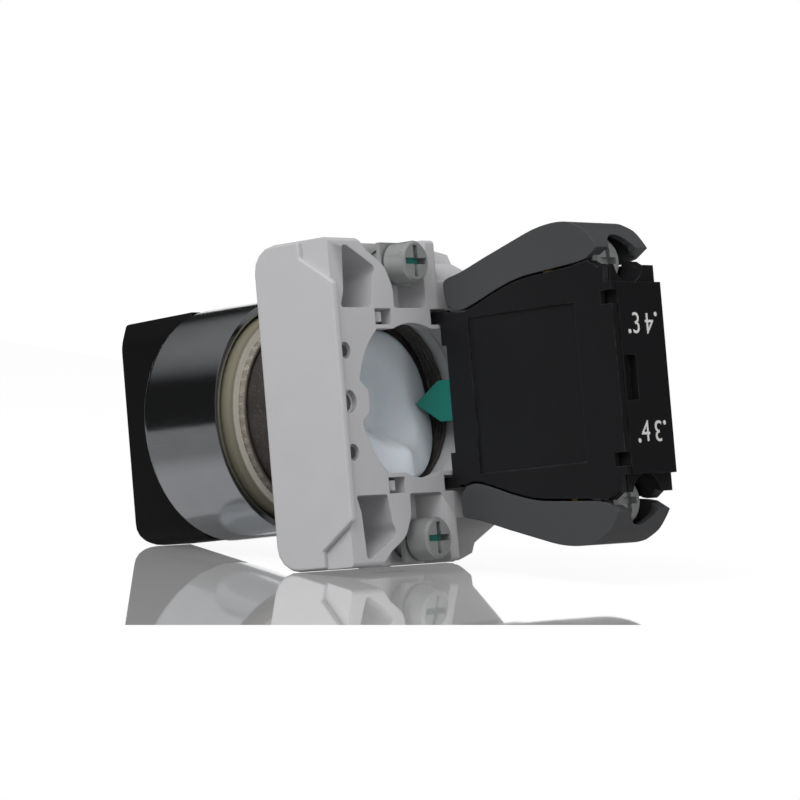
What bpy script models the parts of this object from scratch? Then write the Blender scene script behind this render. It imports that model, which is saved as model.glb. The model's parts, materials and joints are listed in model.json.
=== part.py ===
"""Panel selector switch: turning head, fixing collar and one make contact block.

The head's axis is Y. The panel would lie against the bezel's rear rim, at Y = 0.
The handle points to -Y, the contact block to +Y, and Z is up on the panel.
All sizes are in metres, written as a number of millimetres times MM.
"""

import math

import bmesh
import bpy
from mathutils import Matrix, Vector

MM = 0.001

# Clearances
SEAT_GAP = 0.3 * MM
RUN_GAP = 0.3 * MM
CUT_OVER = 1.0 * MM

# Bezel and cast head body
BEZEL_RADIUS = 14.5 * MM
BEZEL_LENGTH = 12.2 * MM
BEZEL_WALL = 1.1 * MM
BEZEL_LIP = 2.1 * MM
BEZEL_LIP_DEPTH = 1.7 * MM
BEZEL_EDGE = 0.45 * MM
TUBE_RADIUS = BEZEL_RADIUS - 3.5 * MM
TUBE_WALL = 1.4 * MM
TUBE_REAR = 13.0 * MM
FLANGE_REAR = 1.5 * MM
DISC_DEPTH = 4.2 * MM
JOURNAL_RADIUS = 5.0 * MM
CHAMBER_FRONT = 2.0 * MM
KEY_WIDTH = 3.0 * MM
KEY_HEIGHT = 0.9 * MM
KEY_REAR = 6.0 * MM
LUG_WIDTH = 4.0 * MM
LUG_HEIGHT = 1.0 * MM
LUG_FRONT = 9.7 * MM
LUG_LENGTH = 2.0 * MM

# Panel gasket
GASKET_CREST = 1.3 * MM
GASKET_SLEEVE_REAR = 2.2 * MM
GASKET_SLEEVE_WALL = 0.35 * MM

# Handle
HANDLE_FRONT = 24.2 * MM
HANDLE_TOP = 14.3 * MM
HANDLE_BOTTOM = 14.2 * MM
HANDLE_WIDTH = 10.0 * MM
HANDLE_FRONT_WIDTH = 8.8 * MM
HANDLE_POINT_WIDTH = 6.0 * MM
HANDLE_POINT_LENGTH = 3.0 * MM
HANDLE_HEEL_RADIUS = 3.0 * MM
MARKER_WIDTH = 1.6 * MM
MARKER_LENGTH = 9.0 * MM
MARKER_DEPTH = 0.8 * MM
STEM_NECK_RADIUS = 3.6 * MM
STEM_SQUARE = 5.0 * MM
STEM_REAR = 10.2 * MM

# Shaft seal and retaining clip
SEAL_PLACE = 5.5 * MM
SEAL_RING_RADIUS = 4.15 * MM
SEAL_CORD_RADIUS = 0.55 * MM
CLIP_RADIUS = 6.6 * MM
CLIP_THICK = 0.8 * MM

# Cam with its detent star
CAM_RADIUS = TUBE_RADIUS - TUBE_WALL - RUN_GAP
CAM_EDGE = 0.3 * MM
CAM_TRACK_INNER = 6.2 * MM
CAM_DISH_RADIUS = 2.2 * MM
CAM_DISH_DEPTH = 1.8 * MM
CAM_STEP = math.radians(90)
CAM_SKIRT = 8.8 * MM
STAR_RADIUS = 7.4 * MM
STAR_NOTCH = 1.0 * MM
STAR_NOTCH_WIDTH = 2.6 * MM
DETENT_THICK = 0.4 * MM
DETENT_WIDTH = 3.0 * MM
DETENT_SPAN = 11.0 * MM

# Fixing collar
COLLAR_WIDTH = 30.0 * MM
COLLAR_HEIGHT = 38.8 * MM
COLLAR_FRONT = 8.4 * MM
COLLAR_REAR = 19.7 * MM
COLLAR_NOSE_RADIUS = 3.0 * MM
COLLAR_LIP_THICK = 1.6 * MM
CHAMBER_RADIUS = TUBE_RADIUS - 0.4 * MM
OPENING_RADIUS = TUBE_RADIUS - 0.2 * MM
OPENING_FLAT = OPENING_RADIUS - 2.2 * MM
OPENING_ARCH = CAM_RADIUS
BOSS_HALF_HEIGHT = 2.3 * MM
BOSS_WALL = 2.3 * MM
PAD_THICK = 0.7 * MM
PAD_ROOT = 0.3 * MM
PAD_REAR = COLLAR_REAR + 0.8 * MM
PAD_EDGE = 0.25 * MM
PAD_INSET = 0.12 * MM
PAD_SHOULDER_Y = COLLAR_REAR - 4.0 * MM
PAD_SHOULDER_Z = COLLAR_HEIGHT / 2 - 2.1 * MM
PAD_CORNER_Z = COLLAR_HEIGHT / 2 - 5.4 * MM
FAR_STEP_X = -5.4 * MM
PITCH = 10.0 * MM
POCKET_INNER = 11.1 * MM
POCKET_WIDTH = 5.7 * MM
POCKET_DEPTH = 6.5 * MM
SCREW_POCKET_WIDTH = 6.0 * MM
SCREW_POCKET_DEPTH = 4.2 * MM
WINDOW_WIDTH = 3.0 * MM
WINDOW_HEIGHT = 1.9 * MM
WINDOW_WALL = 0.5 * MM
WINDOW_PLACE = 5.2 * MM
WINDOW_STEP = 0.35 * MM
THREAD_HOLE_RADIUS = 1.35 * MM
THREAD_HOLE_PLACE = 12.7 * MM
DIMPLE_RADIUS = 1.0 * MM
DIMPLE_PLACE = 6.0 * MM
DIMPLE_DEPTH = 0.6 * MM

# Fixing screws
SCREW_PLACE = COLLAR_HEIGHT / 2 - 2.8 * MM
SCREW_HEAD_RADIUS = 2.5 * MM
SCREW_HEAD_FRONT = 18.2 * MM
SCREW_HEAD_LENGTH = 3.0 * MM
SCREW_HEAD_EDGE = 0.3 * MM
SCREW_SHANK_RADIUS = 1.7 * MM
SCREW_TIP = 8.9 * MM
CROSS_WIDTH = 0.75 * MM
CROSS_SPAN = 3.8 * MM
CROSS_DEPTH = 1.4 * MM
WASHER_SIDE = 5.2 * MM
WASHER_THICK = 0.6 * MM
NUT_SIDE = 5.6 * MM
NUT_THICK = 2.4 * MM
NUT_FRONT = 10.6 * MM

# Contact block
BLOCK_CENTRE = -PITCH
BLOCK_WIDTH = 10.0 * MM
BLOCK_FRONT = COLLAR_REAR + SEAT_GAP
BLOCK_REAR = 45.9 * MM
BLOCK_HALF_HEIGHT = 11.3 * MM
BLOCK_TAB_HEIGHT = 13.4 * MM
BLOCK_WALL = 1.0 * MM
COVER_THICK = 0.9 * MM
REAR_WALL = 1.6 * MM
CAVITY_HALF_HEIGHT = 9.0 * MM
CHAMBER_INNER = 10.2 * MM
LABEL_FRONT = 24.3 * MM
LABEL_REAR = 40.3 * MM
LABEL_HALF_HEIGHT = 9.4 * MM
LABEL_DEPTH = 0.25 * MM
HOOK_LENGTH = 1.6 * MM

# Terminal shrouds, upper half
# (y, z) points in millimetres, front to rear; smooth curves run through them
SHROUD_NOSE = ((21.3, 14.35), (21.0, 13.25), (21.2, 11.6))
SHROUD_INNER = (
    (22.0, 10.7),
    (23.6, 10.5),
    (26.2, 11.3),
    (28.9, 12.3),
    (32.5, 13.3),
    (36.7, 13.7),
    (40.9, 14.05),
    (42.7, 14.4),
)
SHROUD_TIP = (44.4, 15.5)
SHROUD_OUTER = (
    (23.8, 15.0),
    (27.9, 16.4),
    (31.6, 17.6),
    (35.2, 18.7),
    (38.0, 19.1),
    (40.1, 19.0),
    (41.4, 18.5),
    (42.7, 17.7),
    (43.8, 16.4),
)
SHROUD_CREST_Y = 39.2 * MM
SHROUD_END_Y = 42.7 * MM
SHROUD_WALL = 0.9 * MM
BLOCK_NOTCH_Y = 44.1 * MM

# Plunger and moving contact
PLUNGER_TONGUE = 2.2 * MM
PLUNGER_HEIGHT = 5.0 * MM
PLUNGER_TIP = 13.9 * MM
PLUNGER_WEDGE = 3.8 * MM
PLUNGER_REAR = 37.4 * MM
PLUNGER_TRAVEL = 4.3 * MM
CONTACT_TRAVEL = 2.6 * MM
CONTACT_SPARE = 0.1 * MM
WINDOW_FRONT = 26.8 * MM
WINDOW_REAR = 32.2 * MM
BRIDGE_LENGTH = 16.4 * MM
BRIDGE_WIDTH = 3.4 * MM
BRIDGE_THICK = 0.8 * MM
TIP_PLACE = 6.3 * MM
TIP_RADIUS = 1.2 * MM
TIP_THICK = 0.5 * MM
CONTACT_COIL_RADIUS = 1.6 * MM
CONTACT_WIRE_RADIUS = 0.2 * MM
CONTACT_TURNS = 4.5
RETURN_COIL_RADIUS = 2.0 * MM
RETURN_WIRE_RADIUS = 0.22 * MM
RETURN_TURNS = 4.0

# Terminals
STRIP_WIDTH = 4.4 * MM
STRIP_THICK = 0.8 * MM
STRIP_OUTER = 17.0 * MM
STRIP_INNER = 4.4 * MM
TERMINAL_PLACE = 14.2 * MM
TERMINAL_SHANK_RADIUS = 1.5 * MM
TERMINAL_HEAD_RADIUS = 2.6 * MM
TERMINAL_HEAD_LENGTH = 1.9 * MM
TERMINAL_BOSS_RADIUS = 2.6 * MM
TERMINAL_BOSS_LENGTH = 1.8 * MM
TERMINAL_TRAVEL = 1.8 * MM
TERMINAL_MOUTH = TERMINAL_TRAVEL + SEAT_GAP
TERMINAL_ACCESS_RADIUS = 3.0 * MM
CLAMP_WIDTH = 6.2 * MM
CLAMP_HEIGHT = 5.2 * MM
CLAMP_THICK = 0.9 * MM

# Facets round a full turn
ROUND_LARGE = 64
ROUND_FINE = 48
ROUND_MEDIUM = 32
ROUND_SMALL = 20

# Colour, roughness and metallic value of each finish
CHROME = (0.62, 0.63, 0.65), 0.12, 1.0
CAST_METAL = (0.13, 0.12, 0.12), 0.55, 0.8
ZINC_STEEL = (0.42, 0.43, 0.43), 0.35, 1.0
SPRING_STEEL = (0.50, 0.50, 0.52), 0.30, 1.0
BRASS = (0.66, 0.50, 0.22), 0.35, 1.0
SILVER = (0.80, 0.79, 0.76), 0.30, 1.0
BLACK_PLASTIC = (0.030, 0.029, 0.031), 0.45, 0.0
BLACK_HANDLE = (0.016, 0.016, 0.017), 0.40, 0.0
GREY_SHROUD = (0.065, 0.067, 0.070), 0.42, 0.0
LIGHT_GREY = (0.46, 0.46, 0.47), 0.50, 0.0
CAM_WHITE = (0.58, 0.63, 0.68), 0.30, 0.0
GASKET_CREAM = (0.56, 0.52, 0.42), 0.60, 0.0
MARKER_WHITE = (0.85, 0.85, 0.84), 0.50, 0.0
RUBBER_BLACK = (0.02, 0.02, 0.02), 0.80, 0.0
PLUNGER_GREEN = (0.01, 0.21, 0.16), 0.40, 0.0


def clear_scene():
    """Remove whatever the open file holds."""
    for item in list(bpy.data.objects):
        bpy.data.objects.remove(item, do_unlink=True)


def material(name, finish):
    """A Principled material from a colour, a roughness and a metallic value."""
    colour, roughness, metallic = finish
    made = bpy.data.materials.new(name)
    made.use_nodes = True
    shader = made.node_tree.nodes["Principled BSDF"]
    shader.inputs["Base Color"].default_value = (*colour, 1.0)
    shader.inputs["Roughness"].default_value = roughness
    shader.inputs["Metallic"].default_value = metallic
    return made


def object_from(name, bm, finish=None, parent=None):
    """Turn a bmesh into an object with its own material, or into a bare tool."""
    bmesh.ops.remove_doubles(bm, verts=bm.verts, dist=0.001 * MM)
    bmesh.ops.recalc_face_normals(bm, faces=bm.faces)
    mesh = bpy.data.meshes.new(name)
    bm.to_mesh(mesh)
    bm.free()
    made = bpy.data.objects.new(name, mesh)
    bpy.context.scene.collection.objects.link(made)
    if finish:
        mesh.materials.append(material(name, finish))
    if parent:
        made.parent = parent
        made.matrix_parent_inverse = Matrix.Translation(-parent.location)
    return made


def axis_empty(name, place):
    """An empty on a joint's axis, which carries the pieces that move on it."""
    made = bpy.data.objects.new(name, None)
    made.location = place
    bpy.context.scene.collection.objects.link(made)
    return made


def boolean(target, tool, operation):
    """Add one exact Boolean to the target and hide its tool."""
    step = target.modifiers.new(tool.name, "BOOLEAN")
    step.operation = operation
    step.solver = "EXACT"
    step.object = tool
    tool.hide_render = True
    tool.display_type = "WIRE"


def cut(target, *shapes):
    """Cut each bmesh out of the target."""
    for number, bm in enumerate(shapes):
        count = len(target.modifiers) + number
        tool = object_from(f"{target.name}_cut_{count}", bm)
        boolean(target, tool, "DIFFERENCE")


def add(target, *shapes):
    """Join each bmesh to the target."""
    for number, bm in enumerate(shapes):
        count = len(target.modifiers) + number
        tool = object_from(f"{target.name}_add_{count}", bm)
        boolean(target, tool, "UNION")


def soften(target, width, segments=2, angle=40):
    """Round the target's sharp edges."""
    step = target.modifiers.new("edges", "BEVEL")
    step.width = width
    step.segments = segments
    step.limit_method = "ANGLE"
    step.angle_limit = math.radians(angle)
    step.use_clamp_overlap = True


def smooth(target, angle=35):
    """Shade round faces smooth and keep real edges sharp."""
    target.data.shade_smooth()
    target.data.set_sharp_from_angle(angle=math.radians(angle))
    return target


def filleted(corners, steps=4):
    """Outline from (u, v, radius) corners, each rounded by an arc of that radius."""
    points = []
    total = len(corners)
    for index, (u, v, radius) in enumerate(corners):
        here = Vector((u, v))
        before = Vector(corners[index - 1][:2]) - here
        after = Vector(corners[(index + 1) % total][:2]) - here
        if radius <= 0:
            points.append((u, v))
            continue
        half = before.angle(after) / 2
        reach = min(radius / math.tan(half), 0.49 * before.length, 0.49 * after.length)
        bend = reach * math.tan(half)
        middle = here + (before.normalized() + after.normalized()).normalized() * (
            bend / math.sin(half)
        )
        start = here + before.normalized() * reach - middle
        end = here + after.normalized() * reach - middle
        turn = start.angle_signed(end)
        for step in range(steps + 1):
            arm = start.copy()
            arm.rotate(Matrix.Rotation(-turn * step / steps, 2))
            points.append(tuple(middle + arm))
    return points


def placed(axis, u, v, along):
    """A point from its place across an axis and its place along it."""
    if axis == "X":
        return Vector((along, u, v))
    if axis == "Y":
        return Vector((u, along, v))
    return Vector((u, v, along))


def prism(axis, outline, start, end):
    """Extrude an outline: (y, z) along X, (x, z) along Y, or (x, y) along Z."""
    bm = bmesh.new()
    corners = [bm.verts.new(placed(axis, u, v, start)) for u, v in outline]
    face = bm.faces.new(corners)
    drawn = bmesh.ops.extrude_face_region(bm, geom=[face])
    moved = [item for item in drawn["geom"] if isinstance(item, bmesh.types.BMVert)]
    bmesh.ops.translate(bm, verts=moved, vec=placed(axis, 0, 0, end - start))
    return bm


def block(low, high):
    """A box between two opposite corners."""
    bm = bmesh.new()
    size = Vector(high) - Vector(low)
    middle = (Vector(high) + Vector(low)) / 2
    place = Matrix.Translation(middle) @ Matrix.Diagonal((*size, 1.0))
    bmesh.ops.create_cube(bm, size=1.0, matrix=place)
    return bm


def turned(outline, steps, centre=(0.0, 0.0)):
    """Spin an outline of (y, radius) points about an axis along Y.

    An outline that starts and ends on the axis makes a solid, and any other a ring.
    """
    bm = bmesh.new()
    x, z = centre
    points = [bm.verts.new((x + radius, y, z)) for y, radius in outline]
    closed = outline[0][1] > 0
    last = len(points) if closed else len(points) - 1
    edges = [
        bm.edges.new((points[number], points[(number + 1) % len(points)]))
        for number in range(last)
    ]
    bmesh.ops.spin(
        bm,
        geom=points + edges,
        cent=(x, 0, z),
        axis=(0, 1, 0),
        angle=math.tau,
        steps=steps,
        use_merge=True,
    )
    return bm


def rod(centre, radius, start, end, steps=ROUND_SMALL):
    """A round solid along Y at (x, z)."""
    return turned([(start, 0), (start, radius), (end, radius), (end, 0)], steps, centre)


def swept(path, sides, radius):
    """A round wire along a list of points, with flat ends."""
    bm = bmesh.new()
    rings = []
    for index, point in enumerate(path):
        ahead = path[min(index + 1, len(path) - 1)]
        behind = path[max(index - 1, 0)]
        along = (ahead - behind).normalized()
        outward = Vector((point.x, 0, point.z)).normalized()
        outward = (outward - along * outward.dot(along)).normalized()
        across = along.cross(outward)
        rings.append(
            [
                bm.verts.new(
                    point
                    + radius * math.cos(math.tau * side / sides) * outward
                    + radius * math.sin(math.tau * side / sides) * across
                )
                for side in range(sides)
            ]
        )
    for first, second in zip(rings, rings[1:]):
        for side in range(sides):
            following = (side + 1) % sides
            bm.faces.new((first[side], first[following], second[following], second[side]))
    bm.faces.new(rings[0])
    bm.faces.new(rings[-1])
    return bm


def coil(centre, coil_radius, wire_radius, start, end, turns, steps=10, sides=5):
    """A compression spring along Y between two planes."""
    count = round(turns * steps)
    low = start + wire_radius
    high = end - wire_radius
    path = [
        Vector(
            (
                coil_radius * math.cos(math.tau * index / steps),
                low + (high - low) * index / count,
                coil_radius * math.sin(math.tau * index / steps),
            )
        )
        for index in range(count + 1)
    ]
    bm = swept(path, sides, wire_radius)
    bmesh.ops.translate(bm, verts=bm.verts, vec=(centre[0], 0, centre[1]))
    return bm


def cross_tools(centre, face, span, width, depth):
    """The two crossed slots of a screw's drive, cut from its rear face."""
    x, z = centre
    low, high = face - depth, face + CUT_OVER
    return (
        block((x - span / 2, low, z - width / 2), (x + span / 2, high, z + width / 2)),
        block((x - width / 2, low, z - span / 2), (x + width / 2, high, z + span / 2)),
    )


def mirrored(outline):
    """The same (u, v) outline turned over in v."""
    return [(u, -v) for u, v in outline]


def sided(outline, side):
    """The outline for the upper half, or turned over for the lower half."""
    return outline if side > 0 else mirrored(outline)


def make_bezel():
    """Chrome ring with a rolled front lip and a rounded rear rim."""
    front = -BEZEL_LENGTH
    inner = BEZEL_RADIUS - BEZEL_WALL
    lip = BEZEL_RADIUS - BEZEL_LIP
    outline = filleted(
        [
            (front, lip, 0.3 * MM),
            (front, BEZEL_RADIUS, 2 * BEZEL_EDGE),
            (0, BEZEL_RADIUS, 0.25 * BEZEL_EDGE),
            (0, inner, 0.4 * MM),
            (front + BEZEL_LIP_DEPTH, inner, 0),
            (front + BEZEL_LIP_DEPTH, lip, 0),
        ],
        2,
    )
    smooth(object_from("bezel", turned(outline, ROUND_LARGE), CHROME))


def disc_front():
    """The handle disc's front face, just behind the bezel's front."""
    return -BEZEL_LENGTH - 0.4 * MM


def disc_rear():
    """The handle disc's rear face."""
    return disc_front() + DISC_DEPTH


def make_head_body():
    """Cast body: flange in the bezel, tube through the panel, panel key and collar lugs."""
    front = disc_rear() + RUN_GAP
    flange = BEZEL_RADIUS - BEZEL_WALL - SEAT_GAP
    bore = TUBE_RADIUS - TUBE_WALL
    outline = [
        (front, JOURNAL_RADIUS),
        (front, flange),
        (-FLANGE_REAR, flange),
        (-FLANGE_REAR, TUBE_RADIUS),
        (TUBE_REAR - 0.5 * MM, TUBE_RADIUS),
        (TUBE_REAR, TUBE_RADIUS - 0.5 * MM),
        (TUBE_REAR, bore),
        (CHAMBER_FRONT, bore),
        (CHAMBER_FRONT, JOURNAL_RADIUS),
    ]
    body = object_from("head_body", turned(outline, ROUND_LARGE), CAST_METAL)
    root = TUBE_RADIUS - TUBE_WALL / 2
    key_top = TUBE_RADIUS + KEY_HEIGHT
    key_front = GASKET_SLEEVE_REAR + SEAT_GAP
    add(body, block((-KEY_WIDTH / 2, key_front, root), (KEY_WIDTH / 2, KEY_REAR, key_top)))
    for side in (-1, 1):
        near, far = sorted((side * root, side * (TUBE_RADIUS + LUG_HEIGHT)))
        add(
            body,
            block(
                (near, LUG_FRONT, -LUG_WIDTH / 2),
                (far, LUG_FRONT + LUG_LENGTH, LUG_WIDTH / 2),
            ),
        )
    smooth(body)


def make_gasket():
    """Cream seal, not yet squashed: a crest proud of the rim and a thin sleeve round the tube."""
    outer = BEZEL_RADIUS - BEZEL_WALL - SEAT_GAP
    inner = TUBE_RADIUS + SEAT_GAP
    front = -FLANGE_REAR + SEAT_GAP
    sleeve = inner + GASKET_SLEEVE_WALL
    outline = filleted(
        [
            (front, inner, 0),
            (front, outer, 0),
            (GASKET_CREST, outer, 0.8 * MM),
            (GASKET_CREST, sleeve, 0),
            (GASKET_SLEEVE_REAR, sleeve, 0.15 * MM),
            (GASKET_SLEEVE_REAR, inner, 0),
        ],
        3,
    )
    smooth(object_from("panel_gasket", turned(outline, ROUND_FINE), GASKET_CREAM))


def make_handle(parent):
    """Grip bar on a round disc, with a stepped stem that ends in a driving square."""
    disc_radius = BEZEL_RADIUS - BEZEL_LIP - RUN_GAP
    shaft = JOURNAL_RADIUS - RUN_GAP
    shoulder = CHAMBER_FRONT + RUN_GAP
    groove = SEAL_CORD_RADIUS + SEAT_GAP
    groove_floor = SEAL_RING_RADIUS - SEAL_CORD_RADIUS - SEAT_GAP
    outline = [
        (disc_front(), 0),
        (disc_front(), disc_radius - 0.4 * MM),
        (disc_front() + 0.4 * MM, disc_radius),
        (disc_rear(), disc_radius),
        (disc_rear(), shaft),
        (-SEAL_PLACE - groove, shaft),
        (-SEAL_PLACE - groove, groove_floor),
        (-SEAL_PLACE + groove, groove_floor),
        (-SEAL_PLACE + groove, shaft),
        (shoulder, shaft),
        (shoulder, STEM_NECK_RADIUS),
        (shoulder + CLIP_THICK + 2 * SEAT_GAP, STEM_NECK_RADIUS),
        (shoulder + CLIP_THICK + 2 * SEAT_GAP, 0),
    ]
    handle = object_from("selector_handle", turned(outline, ROUND_FINE), BLACK_HANDLE, parent)
    half = STEM_SQUARE / 2
    add(handle, block((-half, CHAMBER_FRONT, -half), (half, STEM_REAR, half)))
    boolean(handle, grip_bar(), "UNION")
    marker_low = HANDLE_TOP - MARKER_LENGTH
    side = MARKER_WIDTH / 2 + 0.15 * MM
    cut(
        handle,
        block(
            (-side, -HANDLE_FRONT - CUT_OVER, marker_low - 0.15 * MM),
            (side, -HANDLE_FRONT + MARKER_DEPTH + 0.15 * MM, HANDLE_TOP + CUT_OVER),
        ),
    )
    smooth(handle, 30)
    front = -HANDLE_FRONT + 0.02 * MM
    marker = block(
        (-MARKER_WIDTH / 2, front, marker_low),
        (MARKER_WIDTH / 2, -HANDLE_FRONT + MARKER_DEPTH, HANDLE_TOP - 0.25 * MM),
    )
    object_from("handle_marker", marker, MARKER_WHITE, parent)


def grip_bar():
    """The bar that the fingers turn: pointer end up, rounded heel, sides drawn in to the front."""
    rear = -BEZEL_LENGTH - RUN_GAP
    half = HANDLE_WIDTH / 2
    side_profile = filleted(
        [
            (rear, -HANDLE_BOTTOM, 0),
            (rear, HANDLE_TOP, 0),
            (-HANDLE_FRONT, HANDLE_TOP - 0.3 * MM, 0.4 * MM),
            (-HANDLE_FRONT, -HANDLE_BOTTOM, HANDLE_HEEL_RADIUS),
        ],
        6,
    )
    bar = object_from("grip_side", prism("X", side_profile, -half, half))
    point = HANDLE_POINT_WIDTH / 2
    neck = HANDLE_TOP - HANDLE_POINT_LENGTH
    front_profile = filleted(
        [
            (-point, HANDLE_TOP + CUT_OVER, 0),
            (-half, neck, 4 * MM),
            (-half, -HANDLE_BOTTOM, 2.2 * MM),
            (half, -HANDLE_BOTTOM, 2.2 * MM),
            (half, neck, 4 * MM),
            (point, HANDLE_TOP + CUT_OVER, 0),
        ]
    )
    plan = prism("Y", front_profile, rear + CUT_OVER, -HANDLE_FRONT - CUT_OVER)
    for corner in plan.verts:
        if corner.co.y < rear:
            corner.co.x *= HANDLE_FRONT_WIDTH / HANDLE_WIDTH
    boolean(bar, object_from("grip_front", plan), "INTERSECT")
    soften(bar, 0.35 * MM)
    return bar


def make_seal(parent):
    """Rubber ring in the stem's groove."""
    outline = [
        (
            -SEAL_PLACE + SEAL_CORD_RADIUS * math.sin(math.tau * step / 10),
            SEAL_RING_RADIUS + SEAL_CORD_RADIUS * math.cos(math.tau * step / 10),
        )
        for step in range(10)
    ]
    smooth(object_from("handle_seal", turned(outline, ROUND_SMALL), RUBBER_BLACK, parent))


def clip_front():
    """The retaining clip lies behind the stem's shoulder."""
    return CHAMBER_FRONT + RUN_GAP + SEAT_GAP


def make_clip(parent):
    """Snap ring that keeps the stem in the body, open at one side."""
    start = clip_front()
    inner = STEM_NECK_RADIUS + SEAT_GAP
    outline = [
        (start, inner),
        (start, CLIP_RADIUS),
        (start + CLIP_THICK, CLIP_RADIUS),
        (start + CLIP_THICK, inner),
    ]
    clip = object_from("retaining_clip", turned(outline, ROUND_MEDIUM), SPRING_STEEL, parent)
    cut(clip, block((-1.6 * MM, 0, -CLIP_RADIUS - CUT_OVER), (1.6 * MM, 2 * start, 0)))


def cam_height(radius, turn):
    """Y of the cam's rear face: low above the axis, with a raised lobe below it.

    Each end of the lobe is a helical ramp that climbs by the plunger's travel in one
    step of the handle, so the plunger moves in proportion to the handle's turn.
    """
    valley = PLUNGER_TIP - RUN_GAP
    past_side = turn - math.pi
    from_side = min(past_side, math.pi - past_side)
    climb = min(max(from_side / CAM_STEP, 0.0), 1.0)
    track = valley + PLUNGER_TRAVEL * climb
    floor = valley - CAM_DISH_DEPTH
    share = (radius - CAM_DISH_RADIUS) / (CAM_TRACK_INNER - CAM_DISH_RADIUS)
    share = min(max(share, 0.0), 1.0)
    blend = share * share * (3 - 2 * share)
    return floor + (track - floor) * blend


def make_cam(parent):
    """Dished face cam with a lobe, on a hub with the detent star."""
    middle = (CAM_RADIUS + CAM_TRACK_INNER) / 2
    rings = [CAM_RADIUS, CAM_RADIUS - CAM_EDGE, middle, CAM_TRACK_INNER]
    rings += [
        CAM_DISH_RADIUS + (CAM_TRACK_INNER - CAM_DISH_RADIUS) * share
        for share in (0.8, 0.6, 0.4, 0.2, 0.0)
    ]
    bm = bmesh.new()
    skirt, crown = [], []
    for step in range(ROUND_LARGE):
        turn = math.tau * step / ROUND_LARGE
        out = Vector((math.cos(turn), 0, math.sin(turn)))
        skirt.append(bm.verts.new(out * CAM_RADIUS + Vector((0, CAM_SKIRT, 0))))
        spoke = []
        for number, radius in enumerate(rings):
            height = cam_height(radius, turn)
            if number == 0:
                height -= CAM_EDGE
            spoke.append(bm.verts.new(out * radius + Vector((0, height, 0))))
        crown.append(spoke)
    for step in range(ROUND_LARGE):
        following = (step + 1) % ROUND_LARGE
        here, there = crown[step], crown[following]
        bm.faces.new((skirt[step], skirt[following], there[0], here[0]))
        for number in range(len(rings) - 1):
            bm.faces.new((here[number], there[number], there[number + 1], here[number + 1]))
    bm.faces.new([spoke[-1] for spoke in crown])
    bm.faces.new(skirt)
    cam = object_from("cam", bm, CAM_WHITE, parent)
    star_front = clip_front() + CLIP_THICK + SEAT_GAP
    add(cam, prism("Y", star_outline(), star_front, CAM_SKIRT + 0.5 * MM))
    half = STEM_SQUARE / 2 + SEAT_GAP
    cut(
        cam,
        block(
            (-half, star_front - CUT_OVER, -half),
            (half, STEM_REAR + SEAT_GAP, half),
        ),
    )
    smooth(cam, 40)


def star_outline():
    """Detent star: a circle with a notch at each step of the handle."""
    points = []
    half = STAR_NOTCH_WIDTH / 2
    edge = math.asin(half / STAR_RADIUS)
    for number in range(round(math.tau / CAM_STEP)):
        middle = CAM_STEP * number
        points.append(
            (
                (STAR_RADIUS - STAR_NOTCH) * math.cos(middle),
                (STAR_RADIUS - STAR_NOTCH) * math.sin(middle),
            )
        )
        for step in range(9):
            turn = middle + edge + (CAM_STEP - 2 * edge) * step / 8
            points.append((STAR_RADIUS * math.cos(turn), STAR_RADIUS * math.sin(turn)))
    return points


def make_detent_spring(name, side):
    """Leaf spring across the chamber, with a nose in one notch of the star."""
    bore = TUBE_RADIUS - TUBE_WALL - SEAT_GAP
    foot = DETENT_SPAN / 2
    foot_rise = math.sqrt(bore * bore - foot * foot) - DETENT_THICK
    nose = STAR_RADIUS - STAR_NOTCH + SEAT_GAP
    line = [
        (-foot, foot_rise),
        (-0.55 * foot, STAR_RADIUS + 0.5 * MM),
        (-0.24 * foot, STAR_RADIUS + 0.35 * MM),
        (0, nose),
        (0.24 * foot, STAR_RADIUS + 0.35 * MM),
        (0.55 * foot, STAR_RADIUS + 0.5 * MM),
        (foot, foot_rise),
    ]
    outline = line + [(x, z + DETENT_THICK) for x, z in reversed(line)]
    start = clip_front() + CLIP_THICK + 2 * SEAT_GAP
    leaf = prism("Y", sided(outline, side), start, start + DETENT_WIDTH)
    object_from(name, leaf, SPRING_STEEL)


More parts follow.
